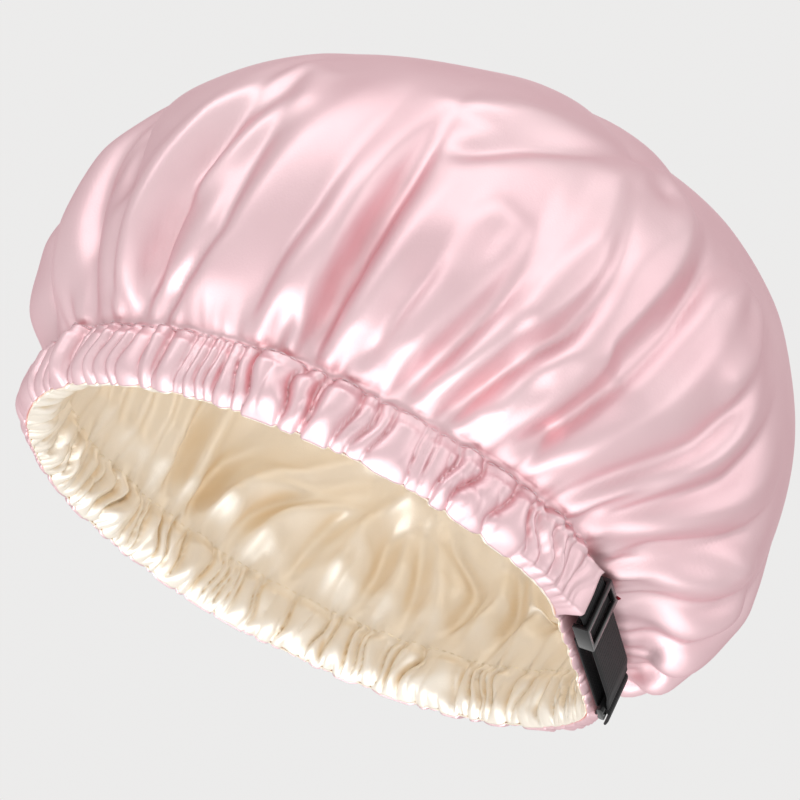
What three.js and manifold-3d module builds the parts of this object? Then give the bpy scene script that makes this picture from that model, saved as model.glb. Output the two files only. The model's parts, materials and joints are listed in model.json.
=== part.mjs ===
// Reversible satin sleep cap standing on its elastic rim.
// Millimetres, +Z up through the crown, forehead toward -Y, nape strap toward +Y.
// Plan angles start at +X. Places on the nape are distances along it, growing toward +X.
import * as THREE from 'three';
import { mergeVertices } from 'three/addons/utils/BufferGeometryUtils.js';
import Module from 'manifold-3d';

const wasm = await Module();
wasm.setup();

const { degToRad, lerp, smoothstep } = THREE.MathUtils;

// Rim and crown
const rimHalfWidth = 92;
const rimHalfLength = 100;
const rimForward = 4;
const crownHalfWidth = 108;
const crownHalfLength = 122.5;
const crownWidestHeight = 59;
const crownHeight = 170;
const bandLatitude = degToRad(-30);

// Share by which the crown stands fuller than an ellipse, and the latitudes between which it does
const crownFullness = 0.045;
const fullnessStart = degToRad(-12);
const fullnessMiddle = degToRad(36);
const fullnessEnd = degToRad(84);

// Cloth layers and the casing round the rim
const clothThickness = 0.8;
const layerGap = 0.5;
const clearance = 0.3;
const casingHeight = 20;
const casingShoulder = 3.2;
const gatherDepth = 1.2;
const backGatherDepth = 0.5;
const threadDiameter = 0.6;
const bartackThickness = 0.7;
const bartackLength = 3;
const bartackHeight = 11;

// Elastic inside the casing
const elasticThickness = 1.2;
const elasticWidth = 15;
const elasticBottom = 2;

// Nape: the strap draws the rim in to a straight line, square to a plan angle from +Y toward +X
const napeTurn = degToRad(21.5);
const napeDrawIn = 11.2;
const napeCorner = 5;

// Strap along the nape, its ring and its slider
const strapThickness = 0.9;
const strapWidth = 15;
const strapBottom = 2;
const nearExit = 38;
const farExit = -54;
const strapSeatLength = 18;
const strapRampLength = 14;
const casingRampLength = 13;
const slitClearance = 0.4;
const tagThickness = 0.4;
const tagSide = 6;
const tagTilt = degToRad(40);
const sliderPlace = 14.5;
const sliderLength = 14;
const barThickness = 1.2;
const endBarWidth = 2.6;
const centreBarWidth = 2.4;
const railHeight = 1.5;
const loopInnerLength = 11;
const loopOuterLength = 5;
const ringPlace = -38;
const ringRampLength = 9;
const ringBarDiameter = 2.4;
const ringRailDepth = 2;
const ringLength = 7.5;
const ringTabTail = 7;

// Back of the crown, which hangs lower over the strap
const sagDrop = 10;
const sagMiddle = degToRad(96);
const sagSpread = degToRad(30);
const sagStart = degToRad(-26);
const sagFull = degToRad(-12);
const sagEnd = degToRad(26);

// Fold lines of the crown from the forehead round the +X side to the nape, ridge and crease in turn:
// plan angle at the stitch line, plan angle and latitude where the line ends, height
const sideFolds = [
  [-90, -90, 12, 5], [-80, -83, 6, -5], [-71, -77, 22, 4], [-61, -66, 16, -5], [-52, -44, 46, 5],
  [-47, -42, 24, -8], [-36, -25, 40, 5], [-26, -21.5, 12, -4], [-18.5, -17, 26, 4], [-14.5, -13, 32, -9],
  [-10.5, -7.5, 20, 4], [-6.5, -3.5, 8, -4], [-2.5, 1, 14, 4], [2, 7, 12, -5], [5, 17, 28, 5],
  [9.5, 18, 14, -7], [17.5, 28, 42, 5], [21, 35, 40, -8], [26.5, 42, 38, 6], [33, 48, 20, -5],
  [36.5, 52, 24, 5], [41, 57, 20, -5], [45, 62, 18, 4], [52, 67, 8, -8], [58, 72, 2, 5],
  [67, 77.5, -2, -5], [75, 82, 0, 4], [82, 86, 4, -4], [90, 90, 12, 5],
];

// Latitude over which a fold rises from the stitch line, and latitudes over which the lines even out
const foldStart = degToRad(14);
const evenStart = degToRad(14);
const evenFull = degToRad(60);

// Sides of a round bar, and points along the elastic
const roundSides = 16;
const elasticPoints = 112;

// Rows of points on the crown from the top down: fold lines from one point to the next, latitude
const crownRows = [[4, 72], [2, 54], [2, 36], [1, 20], [1, 6], [1, -6], [1, -16], [1, -24]];

// Offsets from the middle of the two cloth layers on the crown, outward positive
const coverOuter = layerGap / 2 + clothThickness;
const coverInner = layerGap / 2;
const liningOuter = -layerGap / 2;
const liningInner = -layerGap / 2 - clothThickness;

// Offsets from the elastic's centre line in the casing and across the nape, outward positive
const liningWall = -elasticThickness / 2 - clearance;
const strapSeat = elasticThickness / 2 + clearance + strapThickness / 2;
const bartackSeat = strapSeat + strapThickness / 2 + clearance + bartackThickness / 2;
const sideRoom = bartackSeat + bartackThickness / 2 + clearance;
const backRoom = elasticThickness / 2 + clearance;
const backWall = backRoom + clothThickness + backGatherDepth;
const returnSeat = backWall + clearance + strapThickness / 2;
const loopInnerSeat = returnSeat + strapThickness + clearance;
const centreBarSeat = loopInnerSeat + strapThickness / 2 + clearance + barThickness / 2;
const loopOuterSeat = centreBarSeat + barThickness / 2 + clearance + strapThickness / 2;
const runSeat = loopOuterSeat + strapThickness + clearance;
const endBarSeat = runSeat + strapThickness / 2 + clearance + barThickness / 2;
const ringTurn = ringBarDiameter / 2 + clearance + strapThickness / 2;
const ringSeat = returnSeat + ringTurn;

// Unit plan directions out from the nape and along it
const napeOut = new THREE.Vector2(Math.sin(napeTurn), Math.cos(napeTurn));
const napeAlong = new THREE.Vector2(Math.cos(napeTurn), -Math.sin(napeTurn));

// The straight nape's distance from the cap's axis: the rim's own reach less what the strap draws in
const rimReach = Math.hypot(rimHalfWidth * napeOut.x, rimHalfLength * napeOut.y) - rimForward * napeOut.y;
const napeDistance = rimReach - napeDrawIn;
const strapMiddle = strapBottom + strapWidth / 2;
const railShift = (strapWidth + railHeight) / 2 + clearance;

// The far side mirrors the near one
const farFolds = sideFolds.slice(1, -1).reverse()
  .map(([foot, tip, reach, height]) => [180 - foot, 180 - tip, reach, height]);
const folds = [...sideFolds, ...farFolds].map(([foot, tip, reach, height], k, { length }) => ({
  foot: degToRad(foot),
  tip: degToRad(tip),
  reach: degToRad(reach),
  even: (k / length) * 2 * Math.PI - Math.PI / 2,
  height,
}));

function turnBetween(a, b) {
  return Math.atan2(Math.sin(a - b), Math.cos(a - b));
}

// Rim line: an ellipse cut straight along the nape, with rounded corners
function rimLine(angle) {
  const back = rimHalfLength * Math.sin(angle) - rimForward;
  const point = new THREE.Vector2(rimHalfWidth * Math.cos(angle), back);
  const excess = point.dot(napeOut) - napeDistance;
  const corner = Math.max(excess + napeCorner, 0) ** 2 / (4 * napeCorner);
  return point.addScaledVector(napeOut, excess > napeCorner ? -excess : -corner);
}

function rimPoint(angle, offset, height) {
  const step = 1e-4;
  const along = rimLine(angle + step).sub(rimLine(angle - step)).normalize();
  const point = rimLine(angle).addScaledVector(new THREE.Vector2(along.y, -along.x), offset);
  return new THREE.Vector3(point.x, point.y, height);
}

// Rises from 0 at the start to 1 at the middle and falls back to 0 at the end
function hump(value, start, middle, end) {
  return smoothstep(value, start, middle) * (1 - smoothstep(value, middle, end));
}

function backSag(angle, latitude) {
  const across = Math.exp(-((turnBetween(angle, sagMiddle) / sagSpread) ** 2));
  return sagDrop * across * hump(latitude, sagStart, sagFull, sagEnd);
}

// Smooth crown: it flares from the rim to its widest height, then closes as a dome
function crownPoint(angle, latitude) {
  const widest = new THREE.Vector2(crownHalfWidth * Math.cos(angle), crownHalfLength * Math.sin(angle));
  const flare = (Math.cos(latitude) - Math.cos(bandLatitude)) / (1 - Math.cos(bandLatitude));
  const below = latitude < 0;
  const ellipse = below ? rimLine(angle).lerp(widest, flare) : widest.multiplyScalar(Math.cos(latitude));
  const rise = below
    ? (crownWidestHeight - casingHeight) / -Math.sin(bandLatitude)
    : crownHeight - crownWidestHeight;
  const swell = 1 + crownFullness * hump(latitude, fullnessStart, fullnessMiddle, fullnessEnd);
  const plan = ellipse.multiplyScalar(swell);
  const height = crownWidestHeight + rise * swell * Math.sin(latitude) - backSag(angle, latitude);
  return new THREE.Vector3(plan.x, plan.y, height);
}

function crownNormal(angle, latitude) {
  const step = 1e-4;
  const east = crownPoint(angle + step, latitude).sub(crownPoint(angle - step, latitude));
  const north = crownPoint(angle, latitude + step).sub(crownPoint(angle, latitude - step));
  return east.cross(north).normalize();
}

// Plan angle of a fold line: it leans from its foot to its tip, then joins the even spacing at the top
function foldAngle({ foot, tip, reach, even }, latitude) {
  const lean = lerp(foot, tip, smoothstep(latitude, bandLatitude, reach));
  return lerp(lean, even, smoothstep(latitude, evenStart, evenFull));
}

// Each fold rises out of the stitch line and dies away at the latitude it reaches
function foldHeight({ reach, height }, latitude) {
  const start = bandLatitude + foldStart;
  const end = Math.max(reach, start + foldStart);
  const fall = 1 - smoothstep(latitude, (start + end) / 2, end);
  return height * smoothstep(latitude, bandLatitude, start) * fall;
}

// Room in the casing: full where elastic and strap ends lie, slim across the nape
function backShare(angle) {
  const point = rimLine(angle);
  const place = point.dot(napeAlong);
  const pastFar = smoothstep(place, farExit, farExit + casingRampLength);
  const beforeNear = 1 - smoothstep(place, nearExit - casingRampLength, nearExit);
  return point.dot(napeOut) > 0 ? pastFar * beforeNear : 0;
}

// Ridges stand out from the casing, creases don't
function gather({ foot, height }) {
  return height > 0 ? lerp(gatherDepth, backGatherDepth, backShare(foot)) : 0;
}

function casingRoom(fold) {
  return lerp(sideRoom, backRoom, backShare(fold.foot)) + gather(fold);
}

function ring(step, pointAt) {
  return folds.filter((_, k) => k % step === 0).map((fold) => pointAt(fold));
}

// Rows of one face of a cloth layer from the top of the crown to the stitch line
function crownFace(offset) {
  const top = [new THREE.Vector3(0, 0, crownHeight + offset)];
  const rows = crownRows.map(([step, degrees]) => {
    const latitude = degToRad(degrees);
    return ring(step, (fold) => {
      const angle = foldAngle(fold, latitude);
      const lift = offset + foldHeight(fold, latitude);
      return crownPoint(angle, latitude).addScaledVector(crownNormal(angle, latitude), lift);
    });
  });
  return [top, ...rows, ring(1, ({ foot }) => rimPoint(foot, offset, casingHeight))];
}

// Joins two rings of points, the lower with at least as many points as the upper
function zip(upper, lower, addTriangle) {
  let i = 0;
  lower.forEach((corner, j) => {
    const next = lower[(j + 1) % lower.length];
    addTriangle(upper[i % upper.length], corner, next);
    const due = Math.round(((j + 1) * upper.length) / lower.length);
    while (upper.length > 1 && i < due) {
      addTriangle(upper[i], next, upper[(i + 1) % upper.length]);
      i += 1;
    }
  });
}

function surface(positions, triangles) {
  const geometry = new THREE.BufferGeometry();
  geometry.setAttribute('position', new THREE.Float32BufferAttribute(positions, 3));
  geometry.setIndex(triangles);
  geometry.computeVertexNormals();
  return geometry;
}

// Closed cloth layer between an outer and an inner face that share their rows
function clothShell(outerRows, innerRows) {
  const positions = [];
  const triangles = [];
  const number = (rows) => rows.map((row) => row.map((point) => positions.push(...point) / 3 - 1));
  const outer = number(outerRows);
  const inner = number(innerRows);
  for (let k = 1; k < outer.length; k += 1) {
    zip(outer[k - 1], outer[k], (a, b, c) => triangles.push(a, b, c));
    zip(inner[k - 1], inner[k], (a, b, c) => triangles.push(a, c, b));
  }
  zip(outer.at(-1), inner.at(-1), (a, b, c) => triangles.push(a, b, c));
  return surface(positions, triangles);
}

function toSolid(geometry) {
  const bare = geometry.clone();
  bare.deleteAttribute('normal');
  bare.deleteAttribute('uv');
  const merged = mergeVertices(bare);
  const vertProperties = merged.attributes.position.array;
  const triVerts = new Uint32Array(merged.index.array);
  return new wasm.Manifold(new wasm.Mesh({ numProp: 3, vertProperties, triVerts }));
}

function toGeometry(solid) {
  const mesh = solid.getMesh();
  return surface(Array.from(mesh.vertProperties), Array.from(mesh.triVerts));
}

function unite(geometries) {
  return toGeometry(geometries.map(toSolid).reduce((sum, piece) => sum.add(piece)));
}

// Upright ribbon of a given thickness along a plan path
function ribbon(path, thickness, bottom, width) {
  const side = (sign) => path.map((point, k) => {
    const before = path[Math.max(k - 1, 0)];
    const after = path[Math.min(k + 1, path.length - 1)];
    const along = after.clone().sub(before).normalize();
    const across = new THREE.Vector2(-along.y, along.x);
    return point.clone().addScaledVector(across, (sign * thickness) / 2);
  });
  const outline = new THREE.Shape([...side(1), ...side(-1).reverse()]);
  const geometry = new THREE.ExtrudeGeometry(outline, { depth: width, bevelEnabled: false });
  return geometry.translate(0, 0, bottom);
}

// Plan angle of the rim at a place on the nape
function napeAngle(place) {
  const across = rimHalfWidth * napeAlong.x;
  const back = rimHalfLength * napeAlong.y;
  const share = (place + rimForward * napeAlong.y) / Math.hypot(across, back);
  return Math.atan2(back, across) + Math.acos(share);
}

// Plan point at a place on the nape, offset outward from the rim line
function strapPoint(place, offset) {
  const point = rimPoint(napeAngle(place), offset, 0);
  return new THREE.Vector2(point.x, point.y);
}

// Points from one place to another while the offset eases from one seat to the next
function strapRun(from, to, fromSeat, toSeat) {
  const spacing = 4;
  const count = Math.max(2, Math.ceil(Math.abs(to - from) / spacing));
  return Array.from({ length: count + 1 }, (_, k) => {
    const share = k / count;
    return strapPoint(lerp(from, to, share), lerp(fromSeat, toSeat, smoothstep(share, 0, 1)));
  });
}

// Half turn round a bar, leaving and coming back on the side that heading points away from
function strapTurn(place, seat, radius, fromOutside, heading) {
  const count = 8;
  return Array.from({ length: count - 1 }, (_, k) => {
    const turn = ((k + 1) / count) * Math.PI;
    const offset = seat + (fromOutside ? 1 : -1) * radius * Math.cos(turn);
    return strapPoint(place + heading * radius * Math.sin(turn), offset);
  });
}

// Puts a piece made at the origin, with x along the strap and y outward, at a place on the nape
function atStrap(mesh, place) {
  const foot = strapPoint(place, 0);
  const outward = strapPoint(place, 1).sub(foot);
  mesh.position.set(foot.x, foot.y, 0);
  mesh.rotation.z = Math.atan2(-outward.x, outward.y);
  return mesh;
}

function block(length, depth, height, along, outward, middle) {
  return new THREE.BoxGeometry(length, depth, height).translate(along, outward, middle);
}

function finish(name, geometry, color, roughness) {
  const mesh = new THREE.Mesh(geometry, new THREE.MeshStandardMaterial({ color, roughness, metalness: 0 }));
  mesh.name = name;
  return mesh;
}

const pink = '#e6b9c2';
const champagne = '#f0dfba';
const black = '#2b2b2d';
const white = '#efece6';
const red = '#b3202c';

// Strap: sewn in the near end of the casing, over the nape, round the ring and back under itself
const nearEnd = nearExit + strapSeatLength;
const rampEnd = nearExit - strapRampLength;
const returnEnd = sliderPlace - sliderLength / 2;
const nearRamp = strapRun(nearExit, rampEnd, strapSeat, runSeat);
const runEnd = ringPlace + ringRampLength;
const strapPath = [
  ...strapRun(nearEnd, nearExit, strapSeat, strapSeat),
  ...nearRamp.slice(1),
  ...strapRun(rampEnd, runEnd, runSeat, runSeat).slice(1),
  ...strapRun(runEnd, ringPlace, runSeat, ringSeat + ringTurn).slice(1),
  ...strapTurn(ringPlace, ringSeat, ringTurn, true, -1),
  ...strapRun(ringPlace, returnEnd, returnSeat, returnSeat),
];

// Tab: sewn in the far end of the casing, out to the ring's second bar and back on itself
const tabPlace = ringPlace - (ringLength - ringBarDiameter);
const tabEnd = farExit - strapSeatLength;
const tabRamp = strapRun(farExit, tabPlace, strapSeat, ringSeat - ringTurn);
const tabPath = [
  ...strapRun(tabEnd, farExit, strapSeat, strapSeat),
  ...tabRamp.slice(1),
  ...strapTurn(tabPlace, ringSeat, ringTurn, false, 1),
  ...strapRun(tabPlace, tabPlace - ringTabTail, ringSeat + ringTurn, ringSeat + ringTurn),
];

// Cover: flat hem under the rim, gathered casing wall, stitch line, crown, with a slit for each strap end
function outerCover() {
  const hemEdge = (height) => ring(1, (fold) => {
    return rimPoint(fold.foot, liningWall - clothThickness - gather(fold), height);
  });
  const wall = (offset, height) => ring(1, (fold) => rimPoint(fold.foot, casingRoom(fold) + offset, height));
  const shoulder = casingHeight - casingShoulder;
  const shell = clothShell(
    [...crownFace(coverOuter), wall(clothThickness, shoulder), wall(clothThickness, 0), hemEdge(0)],
    [...crownFace(coverInner), wall(0, shoulder), wall(0, clothThickness), hemEdge(clothThickness)],
  );
  const slit = (path) => toSolid(ribbon(
    path,
    strapThickness + 2 * slitClearance,
    strapBottom - slitClearance,
    strapWidth + 2 * slitClearance,
  ));
  return toGeometry(toSolid(shell).subtract(slit(nearRamp)).subtract(slit(tabRamp)));
}

// Lining: same crown inside the cover, and a gathered wall that stands on the hem
function innerLining() {
  const shoulder = casingHeight - casingShoulder;
  const bottom = clothThickness + clearance;
  const wall = (offset, height) => ring(1, (fold) => {
    return rimPoint(fold.foot, liningWall - gather(fold) + offset, height);
  });
  return clothShell(
    [...crownFace(liningOuter), wall(0, shoulder), wall(0, bottom)],
    [...crownFace(liningInner), wall(-clothThickness, shoulder), wall(-clothThickness, bottom)],
  );
}

// Thread round the rim as a thin closed ring with a square section
function threadRing(offset, height) {
  const reach = threadDiameter / 2;
  const corners = [[reach, 0], [0, -reach], [-reach, 0], [0, reach]];
  const positions = [];
  const triangles = [];
  const rings = corners.map(([out, up]) => {
    const points = ring(1, ({ foot }) => rimPoint(foot, offset + out, height + up));
    return points.map((point) => positions.push(...point) / 3 - 1);
  });
  rings.forEach((upper, k) => {
    zip(upper, rings[(k + 1) % rings.length], (a, b, c) => triangles.push(a, b, c));
  });
  return surface(positions, triangles);
}

// Elastic round the front of the rim, between the two strap ends
function casingElastic() {
  const start = napeAngle(farExit);
  const sweep = 2 * Math.PI + napeAngle(nearExit) - start;
  const path = Array.from({ length: elasticPoints }, (_, k) => {
    const point = rimPoint(start + (sweep * k) / (elasticPoints - 1), 0, 0);
    return new THREE.Vector2(point.x, point.y);
  });
  return ribbon(path, elasticThickness, elasticBottom, elasticWidth);
}

// Slider frame: two rails past the strap's edges, end bars outside the strap, centre bar inside it
function sliderFrame() {
  const height = strapWidth + 2 * (clearance + railHeight);
  const inner = centreBarSeat - barThickness / 2;
  const outer = endBarSeat + barThickness / 2;
  const endShift = (sliderLength - endBarWidth) / 2;
  const rail = (side) => block(
    sliderLength,
    outer - inner,
    railHeight,
    0,
    (outer + inner) / 2,
    strapMiddle + side * railShift,
  );
  const endBar = (side) => block(
    endBarWidth,
    barThickness,
    height,
    side * endShift,
    endBarSeat,
    strapMiddle,
  );
  const centreBar = block(centreBarWidth, barThickness, height, 0, centreBarSeat, strapMiddle);
  return unite([rail(-1), rail(1), endBar(-1), endBar(1), centreBar]);
}

// Free end of the strap, looped round the slider's centre bar
function strapEndLoop() {
  const barEdge = sliderPlace + centreBarWidth / 2;
  const turnRadius = (loopOuterSeat - loopInnerSeat) / 2;
  const innerEnd = sliderPlace - loopInnerLength;
  const outerEnd = sliderPlace - loopOuterLength;
  return ribbon(
    [
      ...strapRun(innerEnd, barEdge, loopInnerSeat, loopInnerSeat),
      ...strapTurn(barEdge, centreBarSeat, turnRadius, false, 1),
      ...strapRun(barEdge, outerEnd, loopOuterSeat, loopOuterSeat),
    ],
    strapThickness,
    strapBottom,
    strapWidth,
  );
}

// Flat ring: one bar for the strap, one for the tab, and a rail above and below them
function strapRing() {
  const height = strapWidth + 2 * (clearance + railHeight);
  const reach = (ringLength - ringBarDiameter) / 2;
  const radius = ringBarDiameter / 2;
  const bar = (side) => new THREE.CylinderGeometry(radius, radius, height, roundSides)
    .rotateX(Math.PI / 2)
    .translate(side * reach, ringSeat, strapMiddle);
  const rail = (side) => block(
    2 * reach,
    ringRailDepth,
    railHeight,
    0,
    ringSeat,
    strapMiddle + side * railShift,
  );
  return unite([bar(-1), bar(1), rail(-1), rail(1)]);
}

// Plain tag caught under the stitch line, lying over the slider's rail with one corner past the strap
function plainTag() {
  const half = tagSide / 2;
  const outline = new THREE.Shape([[-half, -half], [half, -half], [half, half], [-half, half]]
    .map(([along, outward]) => new THREE.Vector2(along, outward)));
  const reach = half * (Math.cos(tagTilt) + Math.sin(tagTilt));
  const bottom = strapMiddle + railShift + railHeight / 2 + clearance;
  return new THREE.ExtrudeGeometry(outline, { depth: tagThickness, bevelEnabled: false })
    .rotateZ(tagTilt)
    .translate(0, backWall + reach, bottom);
}

// Dense stitches at the strap's middle height
function bartack(name, outward, depth, along, place) {
  const stitches = block(bartackLength, depth, bartackHeight, along, outward, strapMiddle);
  return atStrap(finish(name, stitches, black, 0.6), place);
}

const needleSeat = coverOuter + threadDiameter / 2 + 2 * clearance;
const bobbinSeat = liningInner - threadDiameter / 2 - clearance;
const seamHeight = clothThickness + clearance + threadDiameter / 2;
const loopTackShift = -centreBarWidth / 2 - clearance - bartackLength / 2;
const ringMiddle = (ringPlace + tabPlace) / 2;
const nearSeatMiddle = nearExit + strapSeatLength / 2;
const farSeatMiddle = farExit - strapSeatLength / 2;

const cap = new THREE.Group();
cap.add(finish('outer_cover', outerCover(), pink, 0.35));
cap.add(finish('inner_lining', innerLining(), champagne, 0.35));
cap.add(finish('casing_elastic', casingElastic(), white, 0.8));
cap.add(finish('casing_needle_thread', threadRing(needleSeat, casingHeight), pink, 0.6));
cap.add(finish('casing_bobbin_thread', threadRing(bobbinSeat, casingHeight), champagne, 0.6));
cap.add(finish('rim_seam_thread', threadRing(0, seamHeight), champagne, 0.6));
cap.add(finish('nape_strap', ribbon(strapPath, strapThickness, strapBottom, strapWidth), black, 0.75));
cap.add(finish('strap_end_loop', strapEndLoop(), black, 0.75));
cap.add(bartack('loop_bartack', centreBarSeat, barThickness, loopTackShift, sliderPlace));
cap.add(atStrap(finish('slider', sliderFrame(), black, 0.25), sliderPlace));
cap.add(bartack('near_bartack', bartackSeat, bartackThickness, 0, nearSeatMiddle));
cap.add(finish('ring_tab', ribbon(tabPath, strapThickness, strapBottom, strapWidth), black, 0.75));
cap.add(atStrap(finish('strap_ring', strapRing(), black, 0.25), ringMiddle));
cap.add(bartack('far_bartack', bartackSeat, bartackThickness, 0, farSeatMiddle));
cap.add(atStrap(finish('red_tab', plainTag(), red, 0.5), returnEnd));

export default cap;
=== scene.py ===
"""Looks of a reversible satin sleep cap: gathered satin, stitched casing, nape strap and slider."""
import json
import math

import bmesh
import bpy
import numpy as np
from mathutils import Matrix, Vector


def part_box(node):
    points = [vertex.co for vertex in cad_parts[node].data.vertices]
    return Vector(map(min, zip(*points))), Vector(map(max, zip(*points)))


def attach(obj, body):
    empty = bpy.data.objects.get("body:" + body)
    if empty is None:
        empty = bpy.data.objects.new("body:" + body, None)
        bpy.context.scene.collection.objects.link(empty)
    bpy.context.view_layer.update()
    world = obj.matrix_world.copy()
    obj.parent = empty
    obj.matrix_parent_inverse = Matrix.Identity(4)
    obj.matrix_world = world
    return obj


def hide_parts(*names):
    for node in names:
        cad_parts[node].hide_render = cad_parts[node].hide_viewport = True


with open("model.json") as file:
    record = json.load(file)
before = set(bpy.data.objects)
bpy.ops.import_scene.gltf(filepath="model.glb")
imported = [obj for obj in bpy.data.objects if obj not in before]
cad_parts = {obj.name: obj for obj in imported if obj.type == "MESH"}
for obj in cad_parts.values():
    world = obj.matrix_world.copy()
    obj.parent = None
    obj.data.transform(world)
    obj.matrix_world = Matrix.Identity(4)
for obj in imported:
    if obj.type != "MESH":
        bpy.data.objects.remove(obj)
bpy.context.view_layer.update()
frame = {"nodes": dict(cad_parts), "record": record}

MM = 0.001
DEG = math.pi / 180
FULL_TURN = 2 * math.pi
RANDOM_SEED = 11
OUTSIDE = 1
INSIDE = -1

# Rim, crown and casing, as in the CAD model
RIM_HALF_WIDTH = 92 * MM
RIM_HALF_LENGTH = 100 * MM
RIM_FORWARD = 4 * MM
CROWN_HALF_WIDTH = 108 * MM
CROWN_HALF_LENGTH = 122.5 * MM
CROWN_WIDEST = 59 * MM
CROWN_HEIGHT = 170 * MM
BAND = -30 * DEG
CROWN_FULLNESS = 0.045
FULLNESS_START = -12 * DEG
FULLNESS_MIDDLE = 36 * DEG
FULLNESS_END = 84 * DEG
CASING_HEIGHT = 20 * MM

# Nape, as in the CAD model: the slider travels along it, against the direction that places grow in
NAPE_ALONG = -np.array(frame["record"]["behaviour"]["joints"][0]["axis"][:2])
NAPE_OUT = np.array([-NAPE_ALONG[1], NAPE_ALONG[0]])
NAPE_DRAW_IN = 11.2 * MM
NAPE_CORNER = 5 * MM
RIM_REACH = math.hypot(RIM_HALF_WIDTH * NAPE_OUT[0], RIM_HALF_LENGTH * NAPE_OUT[1])
NAPE_DISTANCE = RIM_REACH - RIM_FORWARD * NAPE_OUT[1] - NAPE_DRAW_IN

# Strap, ring and slider, as in the CAD model: places along the nape and offsets out from the rim line
STRAP_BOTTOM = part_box("nape_strap")[0][2]
STRAP_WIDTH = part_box("nape_strap")[1][2] - STRAP_BOTTOM
STRAP_MIDDLE = STRAP_BOTTOM + STRAP_WIDTH / 2
STRAP_THICKNESS = 0.9 * MM
NEAR_EXIT = 38 * MM
FAR_EXIT = -54 * MM
STRAP_SEAT_LENGTH = 18 * MM
STRAP_RAMP_LENGTH = 14 * MM
CASING_RAMP_LENGTH = 13 * MM
STRAP_SEAT = 1.35 * MM
RETURN_SEAT = 2.95 * MM
LOOP_INNER_SEAT = 4.15 * MM
CENTRE_BAR_SEAT = 5.5 * MM
LOOP_OUTER_SEAT = 6.85 * MM
RUN_SEAT = 8.05 * MM
SLIDER_PLACE = 14.5 * MM
SLIDER_LENGTH = 14 * MM
CENTRE_BAR_WIDTH = 2.4 * MM
LOOP_INNER_LENGTH = 11 * MM
LOOP_OUTER_LENGTH = 5 * MM
RING_PLACE = -38 * MM
RING_RAMP_LENGTH = 9 * MM
RING_TURN = 1.95 * MM
RING_SEAT = RETURN_SEAT + RING_TURN
TAB_PLACE = RING_PLACE - 5.1 * MM
TAB_TAIL = 7 * MM

# Steps along the webbing, round its turns, and over its rounded edges and flat faces
WEBBING_STEP = 1.2 * MM
LEAST_STEPS = 3
TURN_STEPS = 14
EDGE_STEPS = 7
FACE_STEPS = 9

# Bartacks: dense zigzags of thread
BARTACK_LENGTH = 3 * MM
BARTACK_HEIGHT = 11 * MM
BARTACK_SEAT = 2.25 * MM
BARTACK_PASSES = 9
BARTACK_THREAD_RADIUS = 0.22 * MM
BARTACK_STEPS = 8
LOOP_TACK_GAP = 0.3 * MM

# Moulded slider and ring: rounding of their edges, and the angles that tell flat, edged and smooth apart
SLIDER_ROUNDING = 0.25 * MM
RING_ROUNDING = 0.35 * MM
ROUNDING_STEPS = 3
WELD_GAP = 0.01 * MM
FLAT_ANGLE = 2 * DEG
EDGE_ANGLE = 40 * DEG
SHADING_ANGLE = 38 * DEG

# Casing stitches: columns from one to the next, columns covered, thread that dips into the cloth
STITCH_STRIDE = 3
STITCH_SPAN = 2
STITCH_LIFT = 0.28 * MM
STITCH_SINK = 0.12 * MM
STITCH_ROUNDNESS = 0.7
STITCH_RADIUS = 0.2 * MM
STITCH_TAPER = [0.35, 0.85, 1, 1, 1, 0.85, 0.35]
THREAD_SIDES = 6
STEEP_THREAD = 0.9

# Cloth grid: points round the crown, twice as many round the casing, and rows closer together near it
COLUMNS = 600
CASING_COLUMNS = 2 * COLUMNS
CROWN_ROWS = 112
CASING_ROWS = 24
TOP_LATITUDE = 87 * DEG
MERIDIAN_STEPS = 2000
ROW_CROWDING = 0.3
SLOPE_STEP = 1e-4
POLE_RISE = 0.1 * MM

# Pleats round the casing, and the fewer ones that cross them at another lean
PLEATS = 104
CROSS_PLEATS = 67
PLEAT_SHARE = 0.9
CROSS_PLEAT_SHARE = 0.25

# Spread of the pleats: widths, wandering of their edges, heights, slopes, reach up the crown in degrees
WIDTH_SHAPE = 1.4
LEAST_WIDTH = 0.5
EDGE_SHIFT = 0.3
EDGE_BEND = 0.18
PLEAT_LEAN = 0.013
PLEAT_CURL = 0.008
SWAY_WAVES = range(4, 16)
PLEAT_HEIGHTS = (0.6, 1.25)
PLEAT_SKEW = 0.6
PLEAT_REACH = (4, 15)
REACH_FADE_START = 0.1

# Cross-section of a pleat: wide pleats stand taller, up to a limit
WIDEST_PLEAT = 1.8
WIDTH_POWER = 0.7
PLEAT_ROUNDNESS = 0.5

# Crown at the stitch line: distance from the rim line, depth of the pleats and share of the folds' height,
# each with what it loses behind the strap
BAND_ROOM = 1.4 * MM
BAND_ROOM_LOSS = 0.6 * MM
BAND_DEPTH = 3 * MM
BAND_DEPTH_LOSS = 1 * MM
BAND_LIFT = 0.5
BAND_LIFT_LOSS = 0.1
BAND_LIFT_END = BAND + 5 * DEG

# Casing by share of its height from the stitch line down: it swells, then turns in to the hem
BAND_FADE_END = 0.2
SWELL_END = 0.22
TURN_IN = 0.92
TURN_IN_POWER = 7
CASING_CORE = 0.5 * MM
SLIM_DEPTH = 0.7 * MM
HEM_POWER = 4

# Casing over the strap's two ends: places where it starts to rise, is up, starts to fall and is down
NEAR_HOOD = (25 * MM, 28 * MM, 52 * MM, 60 * MM)
FAR_HOOD = (-78 * MM, -70 * MM, -47 * MM, -44 * MM)
HOOD_ROOM = 1.2 * MM
HOOD_RISE_END = 0.13
HOOD_TURN_IN = 0.85
HOOD_TURN_START = 0.9
HOOD_PLEAT_SHARE = 0.4

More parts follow.
